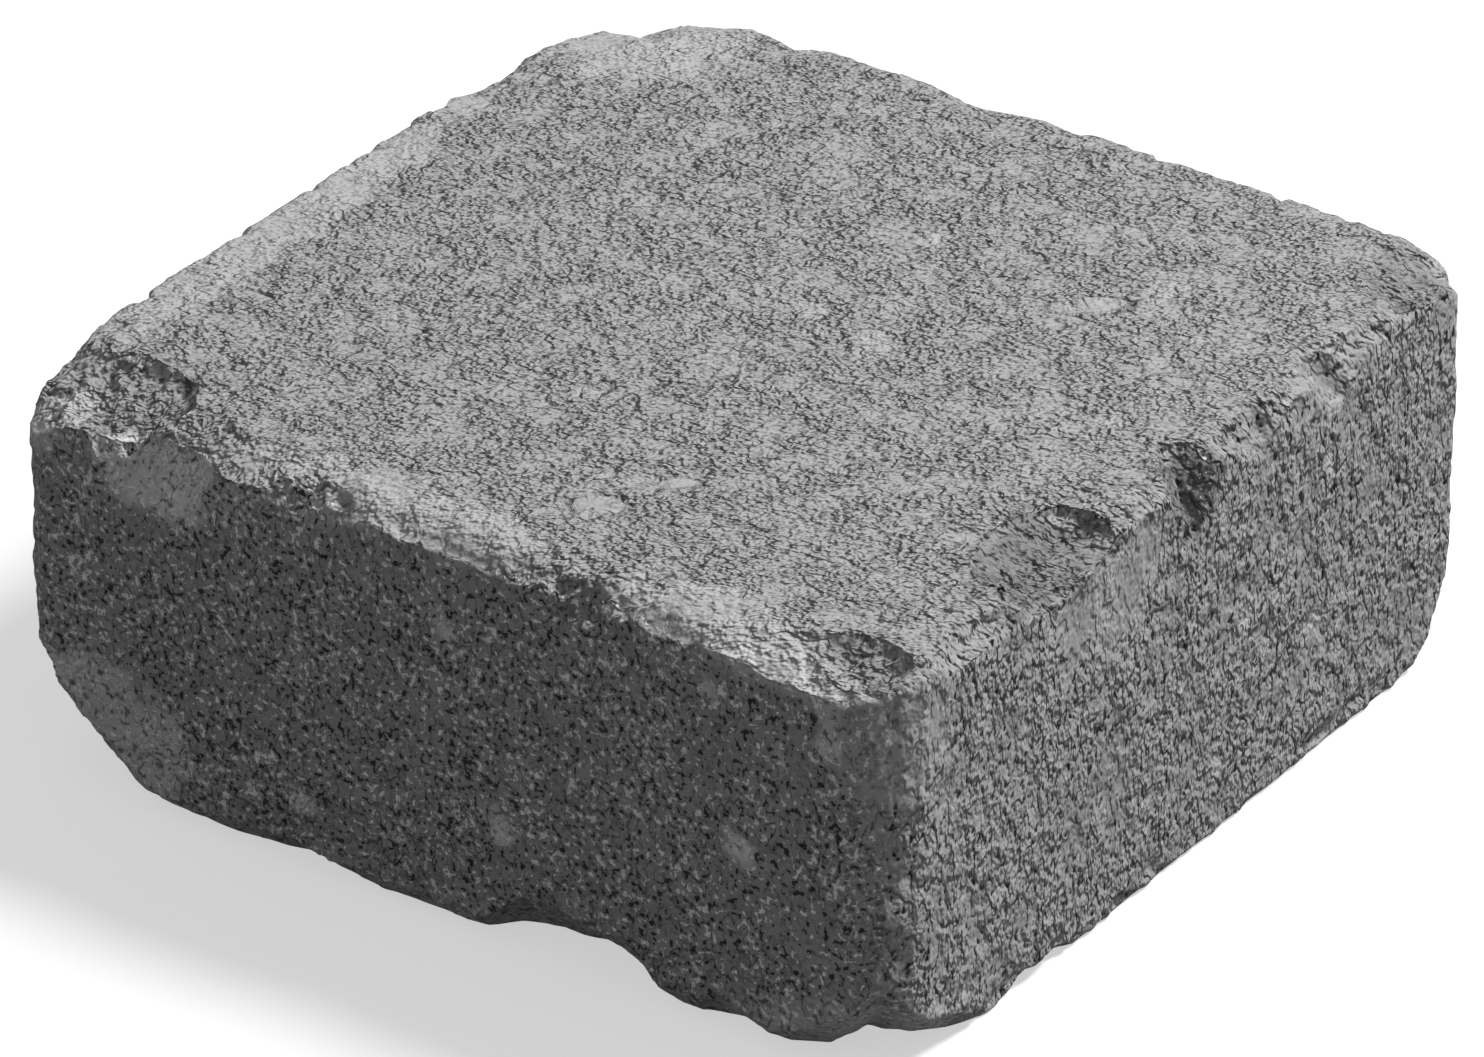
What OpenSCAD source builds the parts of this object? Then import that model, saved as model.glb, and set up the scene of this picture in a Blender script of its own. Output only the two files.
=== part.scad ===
// Tumbled concrete paving stone.
// The stone is pressed in a box mould and then tumbled, which rounds its upright corners, wears its
// arrises and knocks pieces off them. It is modelled the same way: the moulded block is cut by a tumbling
// envelope that stands clear of the six faces and bites into the block only along the arrises and corners,
// and hollows are broken out beside its top arrises.
// Millimetres. +Z is up, the origin is the middle of the bed face and the front face looks along -Y.

/* [Stone] */
// Length of the stone, left to right
stone_length = 140; // [100:1:240]
// Width of the stone, front to back
stone_width = 140; // [100:1:240]
// Thickness, from the bed face up to the wearing face
stone_height = 60; // [50:1:100]

/* [Worn arrises] */
// Rounding of the upright corners: front left, front right, back right, back left
corner_radius = [5, 8, 6, 7]; // [3:0.5:12]
// Wear of the top arris down the front, right, back and left face
top_drop = [4.5, 2.5, 3, 1.4]; // [0.5:0.1:6]
// Wear of the top arris in over the wearing face, from the front, right, back and left face
top_run = [7, 3, 4.5, 2.4]; // [0.5:0.1:9]
// Wear of the bottom arris up the front, right, back and left face
bottom_rise = [4.4, 1.2, 4, 4]; // [0.5:0.1:8]
// Wear of the bottom arris in over the bed face, from the front, right, back and left face
bottom_run = [4.4, 1.2, 4, 4]; // [0.5:0.1:9]
// How far the upright corners are bruised at most
upright_bruise = 0.6; // [0:0.1:3]
// Unevenness of the worn arrises, as a share of their wear
raggedness = 0.3; // [0:0.05:0.6]

/* [Fineness] */
// Steps along the straight part of each side
side_steps = 36; // [12:1:48]
// Steps round each upright corner
corner_steps = 5; // [3:1:8]
// Steps across each worn arris
arris_steps = 5; // [3:1:7]
// Steps up each upright corner
upright_steps = 6; // [3:1:10]
// Steps round each hollow
hollow_steps = 11; // [7:1:24]

/* [Hidden] */

// Sides in the order that the outline runs, anticlockwise from the front left corner
SIDES = ["front", "right", "back", "left"];

// A kind of break is [bluntness of its ends, fullness of its section]. The fullness is 0 for a flat bevel,
// 1 for an elliptical round and less than 0 for a hollow.
// A flat break goes across a corner, a shell is a shallow spall, a notch is hollow with slanting ends,
// and a bite has steep ends.
flat = [1, 0.15];
shell = [2, 0.15];
notch = [1, -0.4];
bite = [4, 0.15];

// A break is a piece knocked off an arris: [side, place along that side from -1 to 1, half length,
// depth on the side face, run over the bed or wearing face, kind]
function side_number(b) = search([b[0]], SIDES)[0];
function place(b) = b[1];
function half_length(b) = b[2];
function depth(b) = b[3];
function run(b) = b[4];
function bluntness(b) = b[5][0];
function fullness(b) = b[5][1];

top_breaks = [
    ["front", -1.00, 24, 9, 10.5, flat],
    ["front", -0.70, 22, 5, 9, shell],
    ["front", 0.84, 14, 5, 8, shell],
    ["right", -0.75, 9, 5, 4, shell],
    ["right", -0.47, 11, 6, 6, shell],
    ["right", 0.00, 5.5, 18, 6, notch],
    ["right", 0.22, 6, 6, 4, shell],
    ["right", 0.50, 8, 8, 5, shell],
    ["right", 1.00, 17, 7, 6.5, flat],
    ["back", 0.14, 8, 3.5, 6, shell],
    ["back", 0.60, 8, 4, 6, shell],
    ["back", 1.00, 32, 9, 14, flat],
    ["left", -0.55, 14, 4, 5, shell],
];

bottom_breaks = [
    ["front", -1.00, 26, 22, 11.5, flat],
    ["front", -0.36, 9, 5, 5, shell],
    ["front", 0.29, 16, 10, 9, bite],
    ["front", 0.66, 4, 7, 6, shell],
    ["front", 1.00, 25, 13, 10, flat],
    ["right", -0.50, 9, 3, 4, shell],
    ["right", 1.00, 15, 16, 6, flat],
    ["back", -0.20, 9, 7, 6, shell],
    ["back", 1.00, 22, 14, 9, flat],
    ["left", 0.15, 10, 6, 6, shell],
];

// A hollow is broken out beside the top arris: [side, place along that side from -1 to 1, inset of its middle
// from the side face, rise of its middle over the wearing face, reach along the side, across it and upwards,
// lean outwards]
function inset(h) = h[2];
function rise(h) = h[3];
function reach(h) = h[4];
function lean(h) = h[5];

hollows = [
    ["front", -0.82, 8, -1, [12, 8.5, 3], 25],
    ["front", -0.66, -6, 0, [16, 9.5, 17], 0],
    ["front", -0.32, -3, -1, [8, 5, 6], 0],
    ["front", 0.30, -2.5, -1, [8, 4.5, 6], 0],
    ["front", 0.88, 6, -0.6, [7, 5, 2.2], 20],
    ["right", -0.42, 4, -1, [12, 9, 2.8], 10],
    ["right", 0.21, -2.5, -1, [7, 4.5, 6], 0],
    ["right", 0.49, -4, -1, [9, 6, 9], 0],
    ["right", 0.84, 4, 0, [8, 7, 2], 15],
];

// How far the envelope stands outside the faces that it leaves alone,
// and outside a side face where it meets its rounded corner
clear_of_face = 2;
skim = 0.05;

// Fullness of the section of an arris that is only worn
worn_fullness = 0.8;
// How much of the unevenness a full break takes away
break_calm = 0.5;

// Waves round the outline that make the wear uneven, their starting angles,
// and how far round the outline they are shifted on the top and the bottom arris
ripple_counts = [23, 41, 67];
ripple_phases = [20, 140, 255];
top_shift = 0;
bottom_shift = 90;

// Bruises up an upright corner, counted from bed to wearing face,
// and the angle that they shift by from corner to corner
bruise_counts = [2, 5];
bruise_shift = 75;

outline = 2 * (stone_length + stone_width);

function lerp(a, b, t) = a + (b - a) * t;
function side_length(side) = side % 2 == 0 ? stone_length : stone_width;
function along(side) = [cos(90 * side), sin(90 * side)];
function previous(side) = (side + 3) % 4;
function next(side) = (side + 1) % 4;

// Corner where a side starts, and how far round the outline that is
function corner(side) = [
    sign(cos(225 + 90 * side)) * stone_length / 2,
    sign(sin(225 + 90 * side)) * stone_width / 2
];
function start_of(side) = side == 0 ? 0 : start_of(side - 1) + side_length(side - 1);

// A station is [point of the outline in plan, distance round it, side, turn, stand-off from the side face].
// The turn goes from 0 to 1 through the corner where the side starts, and is 1 all along the side itself.
function point_of(station) = station[0];
function distance_of(station) = station[1];
function side_of(station) = station[2];
function turn_of(station) = station[3];
function stand_off_of(station) = station[4];

function corner_stations(side) = [
    for (step = [1:corner_steps])
        let (turn = step / (corner_steps + 1))
        let (radius = corner_radius[side])
        let (middle = corner(side) + radius * (along(side) - along(previous(side))))
        let (bearing = 90 * (side + turn) - 180)
        let (distance = start_of(side) + (2 * turn - 1) * radius)
        [middle + radius * [cos(bearing), sin(bearing)], distance, side, turn, 0]
];
function side_stations(side) = [
    for (step = [0:side_steps])
        let (straight = side_length(side) - corner_radius[side] - corner_radius[next(side)])
        let (distance = corner_radius[side] + straight * step / side_steps)
        let (stand_off = step == 0 || step == side_steps ? skim : clear_of_face)
        [corner(side) + distance * along(side), start_of(side) + distance, side, 1, stand_off]
];
stations = [for (side = [0:3]) each concat(corner_stations(side), side_stations(side))];

// How far into its corner a station is: 1 in the middle of the turn, 0 along the sides
function cornering(station) = sin(180 * turn_of(station));

// Wear at a station, from the four values given for the sides
function worn(station, wear) =
    let (side = side_of(station))
    lerp(wear[previous(side)], wear[side], turn_of(station));

// Unevenness round the outline, from -1 to 1
function wave(i, distance) = sin(360 * ripple_counts[i] * distance / outline + ripple_phases[i]);
function ripple(distance) = (wave(0, distance) + wave(1, distance) + wave(2, distance)) / 3;

// How fully a break bites at a distance round the outline, from 0 to 1
function break_centre(b) =
    let (side = side_number(b))
    start_of(side) + side_length(side) * (1 + place(b)) / 2;
function outline_gap(a, b) = let (gap = abs(a - b) % outline) min(gap, outline - gap);
function depth_share(distance, b) =
    max(0, 1 - pow(outline_gap(distance, break_centre(b)) / half_length(b), bluntness(b)));
function products(a, b) = [for (i = [0:len(a) - 1]) a[i] * b[i]];

// An arris at a station is [depth on the side face, run over the bed or wearing face, fullness]
function arris(station, side_wear, face_wear, breaks, shift) =
    let (bites = [for (b = breaks) depth_share(distance_of(station), b)])
    let (deepest = breaks[search(max(bites), bites)[0]])
    let (calm = max(cornering(station), break_calm * max(bites)))
    let (uneven = raggedness * (1 - calm) * ripple(distance_of(station) + shift))
    [
        max(worn(station, side_wear), max(products(bites, [for (b = breaks) depth(b)]))) * (1 + uneven),
        max(worn(station, face_wear), max(products(bites, [for (b = breaks) run(b)]))) * (1 - uneven),
        lerp(worn_fullness, fullness(deepest), max(bites))
    ];

// Middle of a hollow
function hollow_middle(h) =
    let (side = side_number(h))
    let (distance = side_length(side) * (1 + place(h)) / 2)
    let (in_plan = corner(side) + distance * along(side) + inset(h) * along(next(side)))
    [in_plan[0], in_plan[1], stone_height + rise(h)];

// Section of an arris as [inset from the side face, depth below the wearing face or above the bed face],
// from the side face to the bed or wearing face, with both ends run out clear of those faces
function arris_section(a, stand_off) = [
    [-stand_off, a[0]],
    for (step = [1:arris_steps])
        let (t = step / (arris_steps + 1))
        [a[1] * lerp(t, 1 - cos(90 * t), a[2]), a[0] * lerp(1 - t, 1 - sin(90 * t), a[2])],
    [a[1] + 2 * clear_of_face, -clear_of_face]
];

// Bruising of an upright corner at a share of its height, from nothing to the whole of upright_bruise
function bruise(station, share) =
    let (slow = sin(360 * bruise_counts[0] * share + bruise_shift * side_of(station)))
    let (quick = sin(360 * bruise_counts[1] * share))
    upright_bruise * cornering(station) * (2 + slow + quick) / 4;

// Section of the envelope at a station, as [inset from the side face, height], from bed to wearing face
function envelope_section(station) =
    let (stand_off = stand_off_of(station))
    let (low = arris_section(arris(station, bottom_rise, bottom_run, bottom_breaks, bottom_shift), stand_off))
    let (high = arris_section(arris(station, top_drop, top_run, top_breaks, top_shift), stand_off))
    let (foot = low[0][1])
    let (head = stone_height - high[0][1])
    [
        for (i = [len(low) - 1:-1:1]) low[i],
        for (step = [0:upright_steps])
            let (share = step / upright_steps)
            [bruise(station, share) - stand_off, lerp(foot, head, share)],
        for (i = [1:len(high) - 1]) [high[i][0], stone_height - high[i][1]]
    ];

// Point of the envelope at a station: the outline drawn in towards the middle of the stone by the inset
function envelope_point(station, place) = [
    point_of(station)[0] * (1 - 2 * place[0] / stone_length),
    point_of(station)[1] * (1 - 2 * place[0] / stone_width),
    place[1]
];

module tumbling_envelope() {
    sections = [for (s = stations) envelope_section(s)];
    rounds = len(stations);
    levels = len(sections[0]);
    points = [
        for (level = [0:levels - 1])
            for (i = [0:rounds - 1])
                envelope_point(stations[i], sections[i][level])
    ];
    skin = [
        for (level = [0:levels - 2])
            for (i = [0:rounds - 1])
                let (here = level * rounds + i)
                let (beside = level * rounds + (i + 1) % rounds)
                each [[here, beside + rounds, beside], [here, here + rounds, beside + rounds]]
    ];
    underside = [for (i = [0:rounds - 1]) i];
    upper_side = [for (i = [rounds - 1:-1:0]) (levels - 1) * rounds + i];
    polyhedron(points, concat([underside], skin, [upper_side]));
}

module moulded_block() {
    translate([-stone_length / 2, -stone_width / 2, 0])
        cube([stone_length, stone_width, stone_height]);
}

module hollow(h) {
    translate(hollow_middle(h))
        rotate([lean(h), 0, 90 * side_number(h)])
            scale(reach(h))
                sphere(r = 1, $fn = hollow_steps);
}

module paving_stone() {
    color("dimgray")
        difference() {
            intersection() {
                moulded_block();
                tumbling_envelope();
            }
            for (h = hollows) hollow(h);
        }
}

paving_stone();
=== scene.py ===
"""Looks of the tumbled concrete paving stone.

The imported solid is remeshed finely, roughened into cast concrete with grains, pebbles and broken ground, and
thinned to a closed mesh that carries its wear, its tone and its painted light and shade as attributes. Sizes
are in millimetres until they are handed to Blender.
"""

import itertools
import math

import bmesh
import bpy
import numpy as np
from mathutils import Matrix, Vector


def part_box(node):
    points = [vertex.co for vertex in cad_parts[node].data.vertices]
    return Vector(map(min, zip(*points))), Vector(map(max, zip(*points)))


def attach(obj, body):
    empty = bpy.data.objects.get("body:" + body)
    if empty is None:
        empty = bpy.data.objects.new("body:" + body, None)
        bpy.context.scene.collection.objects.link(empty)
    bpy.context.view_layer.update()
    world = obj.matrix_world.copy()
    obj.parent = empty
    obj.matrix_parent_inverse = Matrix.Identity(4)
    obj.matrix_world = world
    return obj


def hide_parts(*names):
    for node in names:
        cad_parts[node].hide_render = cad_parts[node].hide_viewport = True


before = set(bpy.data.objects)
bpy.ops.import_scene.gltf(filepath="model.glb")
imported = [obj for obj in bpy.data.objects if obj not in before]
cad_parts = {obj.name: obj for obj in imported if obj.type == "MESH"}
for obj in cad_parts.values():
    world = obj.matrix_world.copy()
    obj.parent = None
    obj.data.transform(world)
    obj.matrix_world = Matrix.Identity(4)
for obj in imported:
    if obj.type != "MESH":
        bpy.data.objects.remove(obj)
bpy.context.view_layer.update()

MM = 0.001
NODE = "paving_stone"
BODY = "root"

# The stone's faces, from the frame, and those that the photograph shows, to the millimetre
HALF_LENGTH, HALF_WIDTH, HEIGHT = (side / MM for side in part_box(NODE)[1])
TOP = round(HEIGHT)
FRONT = -round(HALF_WIDTH)
RIGHT = round(HALF_LENGTH)

# Fineness of the mesh: distance within which the solid's points are welded, spacing of the fine mesh,
# and the triangles left when it has been thinned
WELD = 0.001
VOXEL = 0.4
TRIANGLES = 196000

# The photograph's camera: turn from the front towards the right, height above the horizon, distance of the
# stone's origin, its offset to the right of and below the middle of the picture, focal length in pixels,
# width of the sensor and farthest that it sees
IMAGE_WIDTH = 1484
CAMERA_AZIMUTH = 35.0
CAMERA_ELEVATION = 30.44
CAMERA_DISTANCE = 1295.7
ORIGIN_RIGHT = 1.40
ORIGIN_DOWN = 22.91
FOCAL_PIXELS = 9560
SENSOR = 36
FARTHEST = 100000

# Light: the key lamp stands behind the stone on the right, at an azimuth counted from +X towards +Y,
# and the sky fills the shade
KEY_AZIMUTH = 44
KEY_ELEVATION = 57
KEY_DISTANCE = 1500
KEY_SIZE = 350
KEY_POWER = 27.0
SKY = 0.29

# Floor: its width, its colour and glow where it is seen, and its colour where it only throws light back
FLOOR_SIZE = 8000
FLOOR_PALE = 0.95
FLOOR_GLOW = 0.55
FLOOR_BOUNCE = 0.12

# Share of its roughness that the smoothest ground loses, in the mesh and in the material
SMOOTHING = 0.85


# Noise

GRADIENT_COUNT = 256
GRADIENTS = np.random.default_rng(11).normal(size=(GRADIENT_COUNT, 3))
GRADIENTS /= np.linalg.norm(GRADIENTS, axis=1, keepdims=True)
JITTER_COUNT = 4096
JITTER = np.random.default_rng(12).random((JITTER_COUNT, 4))

# Odd numbers that mix a lattice point's coordinates and the seed
MIX_COORDINATES = [np.uint32(odd) for odd in (374761393, 668265263, 3266489917)]
MIX_SEED = 2246822519
MIX_AGAIN = np.uint32(1274126177)

# Brings gradient noise to a range of about -1 to 1
NOISE_GAIN = 1.6
# A distance beyond that of any grain, in grains
FAR_AWAY = 9.0

# Packed grains: how far and how finely they are warped, the square of their radius, the rise of the lowest
# of them and their mean height
GRAIN_WARP = 0.25
GRAIN_WARP_PITCH = 1.7
GRAIN_REACH = 0.8
GRAIN_LOWEST = 0.5
GRAIN_MEAN = 0.7


def smoothstep(low, high, x):
    """0 on the low side, 1 on the high side and a smooth change between them."""
    t = np.clip((x - low) / (high - low), 0, 1)
    return t * t * (3 - 2 * t)


def mix(a, b, t):
    return a + (b - a) * t


def lattice_hash(cell, seed):
    """A well-mixed whole number for each lattice point."""
    c = cell.astype(np.uint32)
    h = c[:, 0] * MIX_COORDINATES[0] + c[:, 1] * MIX_COORDINATES[1] + c[:, 2] * MIX_COORDINATES[2]
    h = h + np.uint32(seed * MIX_SEED % 2**32)
    h = (h ^ (h >> np.uint32(13))) * MIX_AGAIN
    return h ^ (h >> np.uint32(16))


def noise(p, seed):
    """Gradient noise, from about -1 to 1, with features about one unit across."""
    cell = np.floor(p).astype(np.int64)
    inner = p - cell
    fade = inner**3 * (inner * (inner * 6 - 15) + 10)
    total = np.zeros(len(p))
    for corner in itertools.product((0, 1), repeat=3):
        gradient = GRADIENTS[lattice_hash(cell + corner, seed) & np.uint32(GRADIENT_COUNT - 1)]
        weight = np.where(corner, fade, 1 - fade).prod(axis=1)
        total += weight * np.einsum("ij,ij->i", gradient, inner - corner)
    return NOISE_GAIN * total


def noise_vector(p, seed):
    """Three noises at each point."""
    return np.stack([noise(p, seed + axis) for axis in range(3)], axis=1)


def fractal(p, seed, octaves, gain=0.5):
    """Sum of octaves of noise, each half as large and gain times as strong as the last."""
    total = np.zeros(len(p))
    strength = 1.0
    for octave in range(octaves):
        total += strength * noise(p * 2**octave, seed + octave)
        strength *= gain
    return total


def grains(p, seed):
    """For each point the distance to the nearest grain's middle and a random share of that grain."""
    cell = np.floor(p).astype(np.int64)
    nearest = np.full(len(p), FAR_AWAY)
    share = np.zeros(len(p))
    for corner in itertools.product((-1, 0, 1), repeat=3):
        neighbour = cell + corner
        jitter = JITTER[lattice_hash(neighbour, seed) & np.uint32(JITTER_COUNT - 1)]
        distance = np.linalg.norm(neighbour + jitter[:, :3] - p, axis=1)
        closer = distance < nearest
        share = np.where(closer, jitter[:, 3], share)
        nearest = np.where(closer, distance, nearest)
    return nearest, share


def packed(p, seed):
    """Height of packed round grains one unit across, each with its own rise, about a mean of nothing."""
    warped = p + GRAIN_WARP * noise_vector(p * GRAIN_WARP_PITCH, seed + 30)
    far, share = grains(warped, seed)
    return np.sqrt(np.clip(GRAIN_REACH - far**2, 0, 1)) * (GRAIN_LOWEST + share) - GRAIN_MEAN


# Places on the stone, read off the photograph

# Ground that is worn smooth or broken open: middle, reach along X, Y and Z, smoothness, roughness and tone;
# the tone holds wear, painted shade in hollows and painted light on some facets
PATCHES = [
    # Front left corner: a fracture in broken ground darkened with painted shade, a worn nose under it, a
    # smooth scar lightened with painted light, and a rough one
    ((-57, -61, 57), (13, 10, 6), 0.0, 1.0, -0.1),
    ((-52, -58, 60), (18, 14, 5), 0.0, 0.65, 0.0),
    ((-64, -66, 52), (6, 5, 5), 0.5, 0.0, 0.5),
    ((-46, -69, 52), (13, 4, 6), 0.4, 0.0, 0.9),
    ((-22, -69, 57), (7, 4, 4), 0.0, 1.0, 0.1),
    # Front arris, with a spall right of its middle
    ((-8, -67, 59), (28, 6, 4), 0.65, 0.0, 0.15),
    ((21, -69, 57), (7, 4, 4), 0.0, 0.9, 0.0),
    ((42, -66, 59), (18, 6, 4), 0.65, 0.0, 0.15),
    # Front right corner: a small hollow darkened with painted shade, with a smooth lip, over a worn upright
    # corner
    ((62, -64, 58), (7, 5, 3), 0.0, 0.9, -0.3),
    ((56, -69, 57), (14, 4, 3), 0.6, 0.0, 0.3),
    ((68, -66, 50), (8, 9, 9), 0.5, 0.0, 0.15),
    # Right arris: a hollow in broken ground, smooth ground under it, a notch and smaller spalls further back;
    # the hollow, the notch and most spalls are darkened with painted shade
    ((66, -30, 58), (10, 13, 4), 0.0, 1.0, -0.35),
    ((63, -32, 60), (15, 19, 4), 0.0, 0.65, 0.0),
    ((70, -20, 50), (4, 14, 8), 0.6, 0.0, 0.1),
    ((69, 0, 55), (5, 6, 8), 0.0, 0.8, -0.45),
    ((69, 15, 57), (5, 6, 4), 0.0, 0.7, -0.1),
    ((70, 34, 56), (5, 7, 6), 0.3, 0.4, 0.0),
    ((66, 59, 58), (8, 9, 4), 0.0, 0.8, -0.2),
    # Left arris and back left corner
    ((-66, -20, 60), (7, 50, 4), 0.6, 0.0, 0.12),
    ((-58, 58, 58), (17, 17, 7), 0.6, 0.0, 0.12),
    # Worn facets at the foot, lightened for their wear and with painted light thrown up from the floor
    ((-60, -66, 8), (20, 14, 14), 0.4, 0.0, 0.7),
    ((0, -68, 2), (60, 6, 4), 0.3, 0.2, 0.2),
    ((58, -64, 4), (18, 14, 7), 0.4, 0.0, 0.4),
]

# Stones of the mix that show as smooth light spots: middle, radius and tone
SPOTS = [
    ((17.7, 2.8, TOP), 3.0, 0.1),
    ((6.7, 4.9, TOP), 2.2, 0.1),
    ((-0.3, 6.7, TOP), 3.0, 0.1),
    ((8.9, 30.0, TOP), 2.0, 0.15),
    ((42.2, 36.4, TOP), 3.0, 0.1),
    ((54.7, 2.7, TOP), 2.6, 0.1),
    ((47.0, FRONT, 29.0), 2.2, 1.2),
    ((60.7, FRONT, 49.4), 2.2, 0.9),
    ((9.2, FRONT, 18.3), 2.2, 1.0),
    ((-11.8, FRONT, 49.4), 1.6, 1.0),
    ((1.7, FRONT, 45.1), 1.6, 0.9),
    ((53.1, FRONT, 43.1), 1.6, 0.9),
    ((42.4, FRONT, 51.1), 1.6, 0.9),
    ((-23.4, FRONT, 11.2), 2.0, 0.9),
    ((RIGHT, 29.3, 19.6), 3.0, 0.35),
    ((RIGHT, 12.7, 30.1), 1.8, 0.35),
    ((RIGHT, 6.3, 11.0), 1.8, 0.3),
]
SPOT_SMOOTHNESS = 0.5

# How ragged the edges of patches are, the size of their jags, the share of it that spots have,
# and the distances, in reaches or radii, over which patches and spots fade out
RAGGEDNESS = 0.35
JAG_SIZE = 6
SPOT_RAGGEDNESS = 0.8
PATCH_EDGE = (1.1, 0.75)
SPOT_EDGE = (1.1, 0.8)

# Pebbles that show on the wearing face: middle, length, width, bearing in degrees and height
TOP_PEBBLES = [
    ((35.7, 26.9), 10.5, 4.6, 40, 0.9),
    ((-5.2, -29.6), 6.0, 3.4, 60, 0.8),
    ((-56.8, -35.2), 7.5, 3.4, 10, 0.8),
    ((-63.1, 36.5), 6.5, 4.0, 30, 0.7),
    ((13.2, -53.0), 7.0, 5.0, 20, 0.8),
    ((18.4, -42.5), 5.5, 2.6, 35, 0.7),
    ((-20.9, 24.6), 4.0, 3.0, 70, 0.6),
]
PEBBLE_EDGE = (1.05, 0.9)
PEBBLE_TONE = 0.03
PEBBLE_SMOOTHNESS = 0.9

# Gap round each pebble: its middle and half width in half lengths of the pebble, its depth,
# and the noise that leaves it only in places
RING_MIDDLE = 1.12
RING_WIDTH = 0.18
RING_DEPTH = 0.6
RING_NOISE_SIZE = 4
RING_NOISE_RANGE = (-0.1, 0.2)


def patch_fields(p):
    """Smoothness, roughness and tone, with its painted shade and light, that the patches and spots give each
    point.
    """
    ragged = RAGGEDNESS * fractal(p / JAG_SIZE, seed=70, octaves=3)
    smooth, rough, tone_and_painted_light = np.zeros((3, len(p)))
    for middle, reach, patch_smooth, patch_rough, patch_tone_and_painted_light in PATCHES:
        far = np.linalg.norm((p - middle) / reach, axis=1) + ragged
        share = smoothstep(*PATCH_EDGE, far)
        smooth = np.maximum(smooth, patch_smooth * share)
        rough = np.maximum(rough, patch_rough * share)
        tone_and_painted_light = tone_and_painted_light + patch_tone_and_painted_light * share
    for middle, radius, spot_tone in SPOTS:
        far = np.linalg.norm(p - middle, axis=1) / radius + SPOT_RAGGEDNESS * ragged
        share = smoothstep(*SPOT_EDGE, far)
        smooth = np.maximum(smooth, SPOT_SMOOTHNESS * share)
        tone_and_painted_light = tone_and_painted_light + spot_tone * share
    return smooth * (1 - rough), rough, tone_and_painted_light


def pebble_fields(p, on_top):
    """Height that the pebbles of the wearing face add, the gap round them, and where they are."""
    raised, ring, shown = np.zeros((3, len(p)))
    for middle, length, width, bearing, height in TOP_PEBBLES:
        turn = math.radians(bearing)
        away = p[:, :2] - middle
        along = away @ (math.cos(turn), math.sin(turn)) / (length / 2)
        across = away @ (-math.sin(turn), math.cos(turn)) / (width / 2)
        far = np.hypot(along, across)
        dome = np.sqrt(np.clip(1 - far**2, 0, 1))
        raised = np.maximum(raised, height * dome * on_top)
        shown = np.maximum(shown, smoothstep(*PEBBLE_EDGE, far) * on_top)
        ring = np.maximum(ring, np.clip(1 - np.abs(far - RING_MIDDLE) / RING_WIDTH, 0, 1) * on_top)
    return raised, ring * smoothstep(*RING_NOISE_RANGE, noise(p / RING_NOISE_SIZE, seed=90)), shown


# Relief

# Share of the normal along an axis over which a point passes on to the face on that axis
FACE_RANGE = (0.6, 0.92)
# Depth under the moulded faces over which ground counts as worn, and distance to an arris that is nibbled
WORN_RANGE = (0.15, 0.9)
ARRIS_RANGE = (5, 1)

# Broad unevenness of the whole stone
SWELL_SIZE = 16
SWELL_HEIGHT = 0.15

# Lumps of the cast faces: small waves and packed grains, on the sides drawn out upwards
WAVE_HEIGHT = 0.1
GRAIN_HEIGHT = 0.4
TOP_WAVE_SIZE = 4
TOP_GRAIN_SIZE = 2.6
SIDE_WAVE_SIZE = 3
SIDE_GRAIN_SIZE = 2.2
SIDE_DRAW = (1, 1, 0.6)
# Share of their height by which lumps are lighter on their crowns and darker between them: painted highlight
# and shade
LUMP_PAINTED_LIGHT = 0.3

# Broken ground: ridges and shards set below the surface, and voids between the ridges that shards break up
RIDGE_SIZE = 6
RIDGE_HEIGHT = 1.2
RIDGE_CREST = 0.5
RIDGE_GAIN = 0.55
SHARD_SIZE = 1.9
SHARD_HEIGHT = 0.35
BROKEN_DEPTH = 0.6
VOID_RANGE = (0.15, 0.6)
VOID_SHARDS = 0.5

# Shares of the cast lumps and of broken ground that worn ground has
WORN_LUMPS = 0.6
WORN_BROKEN = 0.3

# Nibbles along the arrises, and the share of them that smooth ground loses
NIBBLE_SIZE = 4.5
NIBBLE_DEPTH = 0.8
NIBBLE_RANGE = (0.0, 0.5)
NIBBLE_SMOOTHING = 0.6


def cast_lumps(p, on_top):
    """Height of the lumps that the mix shows on the moulded faces."""
    top = WAVE_HEIGHT * fractal(p / TOP_WAVE_SIZE, seed=10, octaves=2)
    top = top + GRAIN_HEIGHT * packed(p / TOP_GRAIN_SIZE, seed=20)
    drawn = p * SIDE_DRAW
    side = WAVE_HEIGHT * fractal(drawn / SIDE_WAVE_SIZE, seed=30, octaves=2)
    side = side + GRAIN_HEIGHT * packed(drawn / SIDE_GRAIN_SIZE, seed=40)
    return mix(side, top, on_top)


def broken_ground(p):
    """Height of broken ground, and where it has voids."""
    ridges = RIDGE_CREST - np.abs(fractal(p / RIDGE_SIZE, seed=60, octaves=3, gain=RIDGE_GAIN))
    shards = fractal(p / SHARD_SIZE, seed=66, octaves=2)
    height = RIDGE_HEIGHT * ridges + SHARD_HEIGHT * shards - BROKEN_DEPTH
    return height, smoothstep(*VOID_RANGE, -ridges + VOID_SHARDS * shards)


def arris_fields(p):
    """Where a point lies under the moulded faces, and where it is near an arris."""
    depths = np.sort(np.stack([
        HALF_LENGTH - np.abs(p[:, 0]), HALF_WIDTH - np.abs(p[:, 1]), HEIGHT - p[:, 2], p[:, 2]]), axis=0)
    return smoothstep(*WORN_RANGE, depths[0]), smoothstep(*ARRIS_RANGE, depths[1])


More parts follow.
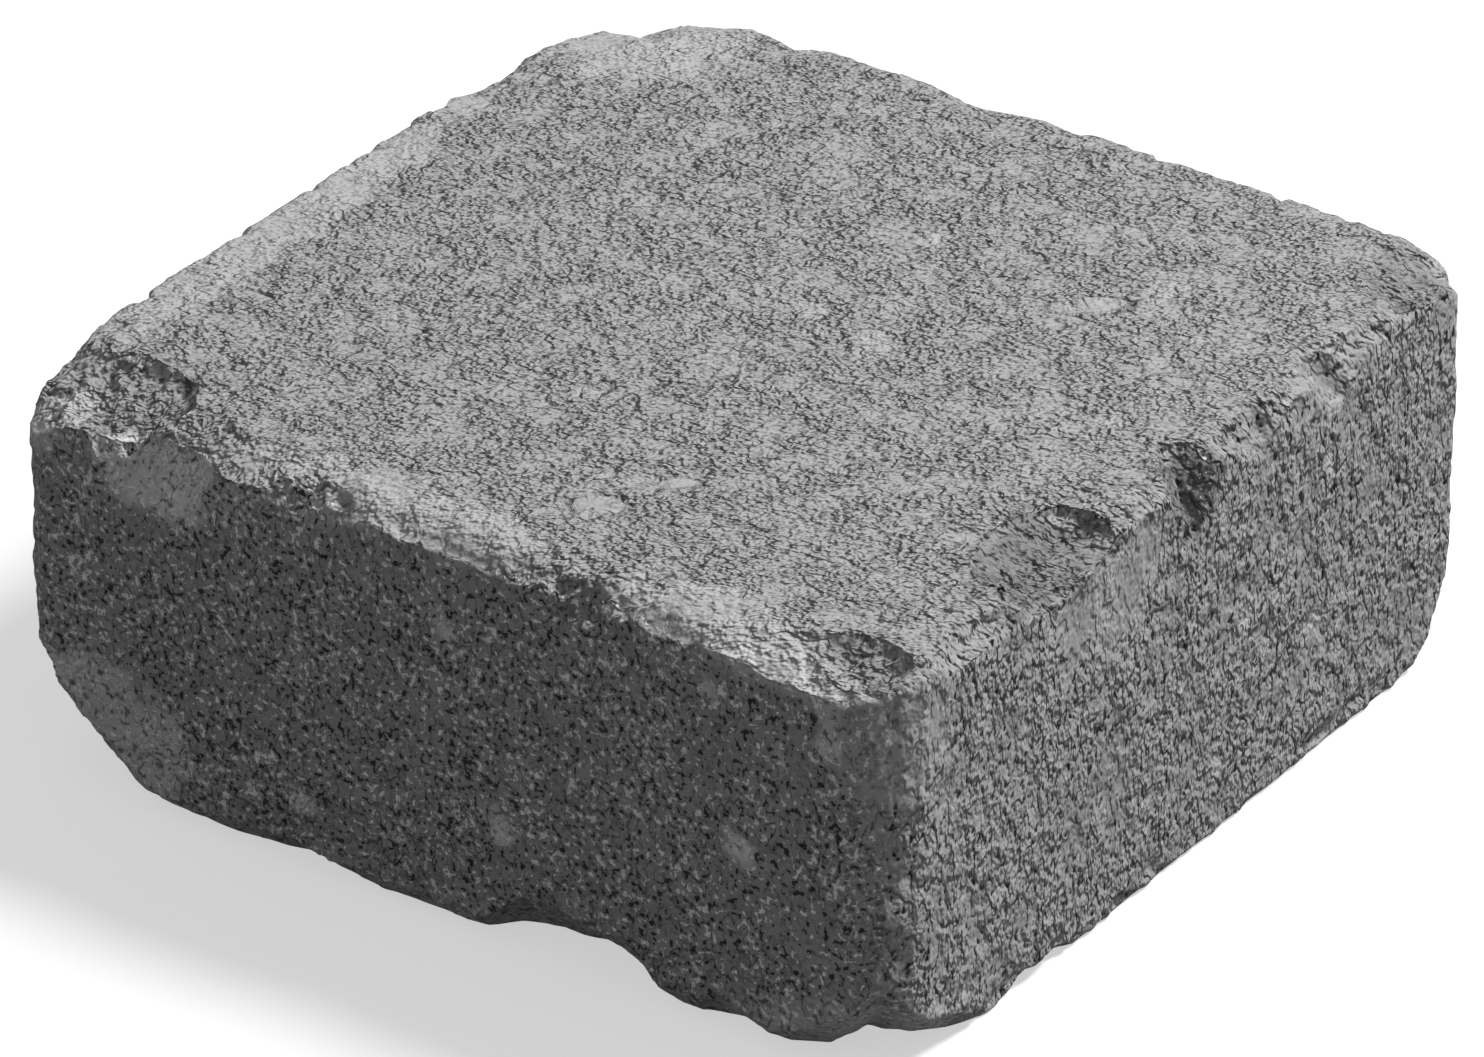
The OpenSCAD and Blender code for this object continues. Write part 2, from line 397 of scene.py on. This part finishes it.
def relief(p, normal):
    """Height of the rough surface over the solid at each point, and the material's fields."""
    on_top = smoothstep(*FACE_RANGE, normal[:, 2])
    on_bed = smoothstep(*FACE_RANGE, -normal[:, 2])
    on_front = smoothstep(*FACE_RANGE, -normal[:, 1])
    worn, near_arris = arris_fields(p)
    smooth, rough, tone_and_painted_light = patch_fields(p)
    raised, ring, pebble = pebble_fields(p, on_top)
    lumps = cast_lumps(p, on_top)
    broken, voids = broken_ground(p)
    swell = SWELL_HEIGHT * fractal(p / SWELL_SIZE, seed=1, octaves=3)
    nibbles = smoothstep(*NIBBLE_RANGE, noise(p / NIBBLE_SIZE, seed=80))
    nibbles = nibbles * near_arris * (1 - NIBBLE_SMOOTHING * smooth)

    height = mix(lumps, WORN_LUMPS * lumps + WORN_BROKEN * broken, worn)
    height = mix(height, broken, rough)
    height = (1 - pebble) * (1 - SMOOTHING * smooth) * height
    height = height + raised - RING_DEPTH * ring + swell - NIBBLE_DEPTH * nibbles
    fields = {
        # Painted shade in the voids of broken ground and in the gaps round pebbles
        "cavity_shade": np.clip(np.maximum(voids * rough, ring), 0, 1),
        # Tone of wear, stones and pebbles, with painted shade in hollows, painted light on some facets, and
        # painted highlight and shade on the lumps
        "tone_and_painted_light": tone_and_painted_light + LUMP_PAINTED_LIGHT * lumps * (1 - smooth) + PEBBLE_TONE * pebble,
        "smoothness": np.maximum(smooth, PEBBLE_SMOOTHNESS * pebble),
        "on_top": on_top,
        "on_front": on_front,
    }
    return height * (1 - on_bed), fields


# Mesh

def apply_modifiers(piece):
    """Makes the piece's modified mesh its own."""
    graph = bpy.context.evaluated_depsgraph_get()
    made = bpy.data.meshes.new_from_object(piece.evaluated_get(graph))
    old = piece.data
    piece.modifiers.clear()
    piece.data = made
    bpy.data.meshes.remove(old)


def vertex_array(mesh, name):
    """A point attribute of three numbers as an array."""
    values = np.zeros(3 * len(mesh.vertices), np.float32)
    mesh.vertices.foreach_get(name, values)
    return values.reshape(-1, 3).astype(float)


def set_points(mesh, points):
    """Moves the mesh's points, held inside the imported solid's box."""
    points = np.clip(points, (-HALF_LENGTH, -HALF_WIDTH, 0), (HALF_LENGTH, HALF_WIDTH, HEIGHT))
    mesh.vertices.foreach_set("co", (points * MM).astype(np.float32).ravel())
    mesh.update()


def fine_copy():
    """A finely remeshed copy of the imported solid."""
    stone = bpy.data.objects.new("worn_stone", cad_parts[NODE].data.copy())
    bpy.context.scene.collection.objects.link(stone)
    welded = bmesh.new()
    welded.from_mesh(stone.data)
    bmesh.ops.remove_doubles(welded, verts=welded.verts, dist=WELD * MM)
    welded.to_mesh(stone.data)
    welded.free()
    remesh = stone.modifiers.new("fine", "REMESH")
    remesh.mode = "VOXEL"
    remesh.voxel_size = VOXEL * MM
    apply_modifiers(stone)
    return stone


def roughen(mesh):
    """Moves the mesh's points to the rough surface and keeps the material's fields on them."""
    points = vertex_array(mesh, "co") / MM
    normals = vertex_array(mesh, "normal")
    height, fields = relief(points, normals)
    set_points(mesh, points + height[:, None] * normals)
    for name, values in fields.items():
        attribute = mesh.attributes.new(name, "FLOAT", "POINT")
        attribute.data.foreach_set("value", values.astype(np.float32))
    mesh.update()


def thin_out(piece):
    """Thins the piece's mesh of quads to the triangles that it may have."""
    thin = piece.modifiers.new("thin", "DECIMATE")
    thin.ratio = TRIANGLES / (2 * len(piece.data.polygons))
    thin.use_collapse_triangulate = True
    apply_modifiers(piece)
    set_points(piece.data, vertex_array(piece.data, "co") / MM)


def worn_stone():
    """A closed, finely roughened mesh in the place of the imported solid."""
    stone = fine_copy()
    roughen(stone.data)
    thin_out(stone)
    stone.data.shade_smooth()
    stone.data.materials.clear()
    stone.data.materials.append(concrete())
    return stone


# Material

# Sizes of the noises, their mean, the bearing in degrees from +X along which all but the sand are drawn out,
# and their scale along it, across it and upwards
SKIN_SIZE = 1.7
GRIT_SIZE = 0.75
CLOUD_SIZE = 6.0
SAND_SIZE = 0.8
NOISE_MIDDLE = 0.5
DRAWN_BEARING = 35
DRAWN_SCALE = (0.7, 1, 0.55)

# Lightness of the concrete, the painted light on the wearing face and the painted shade on the front, given as
# a negative lightness, and its clouds
LIGHTNESS = 0.33
TOP_PAINTED_LIGHT = 0.035
FRONT_PAINTED_SHADE = -0.02
CLOUD_CONTRAST = 0.12
LIGHTEST = 0.8

# Painted shade in the creases between the grit: the noise at which it starts and is full, its darkness on the
# wearing face, what the sides add to it and what the front then takes off, and the darkness of the painted
# shade in cavities
CREASE_RANGE = (0.43, 0.31)
CREASE_SHADE = 0.68
CREASE_SHADE_SIDES = 0.32
CREASE_SHADE_FRONT = -0.7
CAVITY_SHADE = 0.5

# Light sand with painted glints of grains catching the light, most of it on the front and gathered by the
# clouds, and painted shade in the small pits beside it
SPECK_RANGE = (0.58, 0.66)
SPECK_GATHERED = 0.2
SPECK_SIDES = 0.12
SPECK_SAND_AND_GLINT = 0.6
PIT_RANGE = (0.41, 0.32)
PIT_SHADE = 0.95

# Bump: heights of the skin's flat lumps, of the grit and what it gains on the wearing face, and of the sand,
# and how the clouds strengthen it
SKIN_RANGE = (0.43, 0.55)
SKIN_HEIGHT = 0.7
GRIT_HEIGHT = 1.1
GRIT_HEIGHT_TOP = 1.5
SPECK_HEIGHT = 0.2
CLOUD_RANGE = (0.3, 0.65)
CLOUD_STRENGTHS = (0.4, 1.2)

SURFACE_ROUGHNESS = 0.92
SURFACE_SPECULAR = 0.25


class Shader:
    """Builds the nodes of a material or a world: each method adds nodes and returns their output."""

    def __init__(self, block):
        self.block = block
        block.use_nodes = True
        self.tree = block.node_tree
        self.tree.nodes.clear()

    def node(self, kind, inputs, output=0, **settings):
        made = self.tree.nodes.new(kind)
        for key, value in settings.items():
            setattr(made, key, value)
        for key, value in inputs.items():
            if isinstance(value, bpy.types.NodeSocket):
                self.tree.links.new(value, made.inputs[key])
            else:
                made.inputs[key].default_value = value
        return made.outputs[output]

    def math(self, operation, a, b):
        return self.node("ShaderNodeMath", {0: a, 1: b}, operation=operation)

    def add(self, first, *others):
        for other in others:
            first = self.math("ADD", first, other)
        return first

    def times(self, first, *others):
        for other in others:
            first = self.math("MULTIPLY", first, other)
        return first

    def less(self, a, b):
        return self.math("SUBTRACT", a, b)

    def greater(self, a, b):
        return self.math("MAXIMUM", a, b)

    def rise(self, value, low, high, start=0.0, end=1.0):
        """A smooth change from start to end as the value goes from low to high."""
        inputs = {"Value": value, "From Min": low, "From Max": high, "To Min": start, "To Max": end}
        return self.node("ShaderNodeMapRange", inputs, interpolation_type="SMOOTHSTEP")

    def field(self, name):
        """One of the fields that the mesh carries."""
        return self.node("ShaderNodeAttribute", {}, output="Fac", attribute_name=name)

    def vector(self, operation, a, b):
        return self.node("ShaderNodeVectorMath", {0: a, 1: b}, operation=operation)

    def noise(self, place, size, detail=1.0, roughness=0.5):
        """Noise from 0 to 1 with features of that size in the units of the place."""
        inputs = {"Vector": place, "Scale": 1 / size, "Detail": detail, "Roughness": roughness}
        return self.node("ShaderNodeTexNoise", inputs)

    def seen(self):
        """1 for rays that show a surface to the camera, straight, by reflection or through glass, else 0."""
        path = self.node("ShaderNodeLightPath", {}).node.outputs
        bent = self.greater(path["Is Glossy Ray"], path["Is Transmission Ray"])
        return self.greater(path["Is Camera Ray"], bent)

    def finish(self, surface, kind="ShaderNodeOutputMaterial"):
        """Ends the tree with its output node and returns the material or world."""
        out = self.tree.nodes.new(kind)
        self.tree.links.new(surface, out.inputs["Surface"])
        return self.block


def concrete_noises(s):
    """Noises of the skin, the grit, the clouds and the sand, from the middle of the wearing face."""
    place = s.vector("SUBTRACT", s.node("ShaderNodeTexCoord", {}, output="Object"), (0, 0, HEIGHT * MM))
    turn = {"Vector": place, "Angle": math.radians(-DRAWN_BEARING)}
    turned = s.node("ShaderNodeVectorRotate", turn, rotation_type="Z_AXIS")
    drawn = s.vector("MULTIPLY", turned, [scale / MM for scale in DRAWN_SCALE])
    plain = s.vector("MULTIPLY", place, (1 / MM, 1 / MM, 1 / MM))
    skin = s.noise(drawn, SKIN_SIZE)
    grit = s.noise(drawn, GRIT_SIZE, roughness=0.6)
    cloud = s.noise(drawn, CLOUD_SIZE, detail=2.0)
    sand = s.noise(plain, SAND_SIZE)
    return skin, grit, cloud, sand


def concrete():
    """Grey cast concrete: a lumpy skin with dark creases, and light sand that shows on the front."""
    s = Shader(bpy.data.materials.new("concrete"))
    skin, grit, cloud, sand = concrete_noises(s)
    clouds = s.less(cloud, NOISE_MIDDLE)
    on_top, on_front = s.field("on_top"), s.field("on_front")
    off_top = s.less(1.0, on_top)
    rough = s.less(1.0, s.times(SMOOTHING, s.field("smoothness")))

    # Painted shade in the creases between the grit, in cavities and in small pits
    crease_shade_by_face = s.add(CREASE_SHADE, s.times(CREASE_SHADE_SIDES, off_top), s.times(CREASE_SHADE_FRONT, on_front))
    crease_shade = s.times(s.rise(grit, *CREASE_RANGE), rough, crease_shade_by_face)
    # Painted shade of small pits on the front
    pit_shade = s.times(s.rise(sand, *PIT_RANGE), on_front, rough)
    painted_shade = s.greater(crease_shade, s.times(CAVITY_SHADE, s.field("cavity_shade")))
    painted_shade = s.greater(painted_shade, s.times(PIT_SHADE, pit_shade))
    # Light sand, with painted glints where its grains would catch the light, most of it on the front
    strewn = s.rise(s.add(sand, s.times(SPECK_GATHERED, clouds)), *SPECK_RANGE)
    sand_and_glint = s.times(strewn, off_top, rough, s.add(SPECK_SIDES, on_front))

    # Painted light on the wearing face and painted shade on the front
    face_painted_light = s.add(s.times(TOP_PAINTED_LIGHT, on_top), s.times(FRONT_PAINTED_SHADE, on_front))
    value = s.add(LIGHTNESS, face_painted_light, s.times(CLOUD_CONTRAST, clouds))
    value = s.times(value, s.add(1.0, s.field("tone_and_painted_light")), s.less(1.0, painted_shade))
    value = s.math("MINIMUM", s.add(value, s.times(SPECK_SAND_AND_GLINT, sand_and_glint)), LIGHTEST)

    grit_height = s.add(GRIT_HEIGHT, s.times(GRIT_HEIGHT_TOP, on_top))
    lumps = s.add(s.times(SKIN_HEIGHT, s.rise(skin, *SKIN_RANGE)), s.times(grit_height, grit))
    lumps = s.times(lumps, rough, s.rise(cloud, *CLOUD_RANGE, *CLOUD_STRENGTHS))
    height = s.add(lumps, s.times(SPECK_HEIGHT, sand_and_glint))
    bump = s.node("ShaderNodeBump", {"Strength": 1.0, "Distance": MM, "Height": height})
    return s.finish(s.node("ShaderNodeBsdfPrincipled", {
        "Base Color": value, "Roughness": SURFACE_ROUGHNESS, "Specular IOR Level": SURFACE_SPECULAR,
        "Normal": bump}))


# Stage

def grey(value):
    return (value, value, value, 1)


def floor_material():
    """Pale where it is seen, and dim in the light that it throws back, so that the sides stay in shade."""
    s = Shader(bpy.data.materials.new("pale_floor"))
    pale = s.node("ShaderNodeBsdfDiffuse", {"Color": grey(FLOOR_PALE)})
    glow = s.node("ShaderNodeEmission", {"Color": grey(1), "Strength": 1.0})
    shown = s.node("ShaderNodeMixShader", {0: FLOOR_GLOW, 1: pale, 2: glow})
    dim = s.node("ShaderNodeBsdfDiffuse", {"Color": grey(FLOOR_BOUNCE)})
    return s.finish(s.node("ShaderNodeMixShader", {0: s.seen(), 1: dim, 2: shown}))


def add_floor():
    bpy.ops.mesh.primitive_plane_add(size=FLOOR_SIZE * MM)
    floor = bpy.context.object
    floor.name = "floor"
    floor.data.materials.append(floor_material())


def add_key_lamp():
    light = bpy.data.lights.new("key", "AREA")
    light.shape = "DISK"
    light.size = KEY_SIZE * MM
    light.energy = KEY_POWER
    lamp = bpy.data.objects.new("key", light)
    a, e = math.radians(KEY_AZIMUTH), math.radians(KEY_ELEVATION)
    towards = Vector((math.cos(e) * math.cos(a), math.cos(e) * math.sin(a), math.sin(e)))
    lamp.location = towards * KEY_DISTANCE * MM
    lamp.rotation_euler = towards.to_track_quat("Z", "Y").to_euler()
    bpy.context.scene.collection.objects.link(lamp)


def add_sky():
    """White where it is seen, and a soft fill where it only gives light."""
    s = Shader(bpy.data.worlds.new("sky"))
    strength = s.node("ShaderNodeMapRange", {"Value": s.seen(), "To Min": SKY, "To Max": 1.0})
    background = s.node("ShaderNodeBackground", {"Color": grey(1), "Strength": strength})
    bpy.context.scene.world = s.finish(background, "ShaderNodeOutputWorld")


def add_camera():
    a, e = math.radians(CAMERA_AZIMUTH), math.radians(CAMERA_ELEVATION)
    back = Vector((math.sin(a) * math.cos(e), -math.cos(a) * math.cos(e), math.sin(e)))
    right = Vector((math.cos(a), math.sin(a), 0))
    up = back.cross(right)
    lens = bpy.data.cameras.new("camera")
    lens.sensor_width = SENSOR
    lens.lens = SENSOR * FOCAL_PIXELS / IMAGE_WIDTH
    lens.clip_end = FARTHEST * MM
    camera = bpy.data.objects.new("camera", lens)
    place = (back * CAMERA_DISTANCE - right * ORIGIN_RIGHT + up * ORIGIN_DOWN) * MM
    camera.matrix_world = Matrix.Translation(place) @ Matrix((right, up, back)).transposed().to_4x4()
    bpy.context.scene.collection.objects.link(camera)
    bpy.context.scene.camera = camera


stone = worn_stone()
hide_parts(NODE)
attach(stone, BODY)
add_floor()
add_key_lamp()
add_sky()
add_camera()
bpy.context.scene.view_settings.view_transform = "Standard"
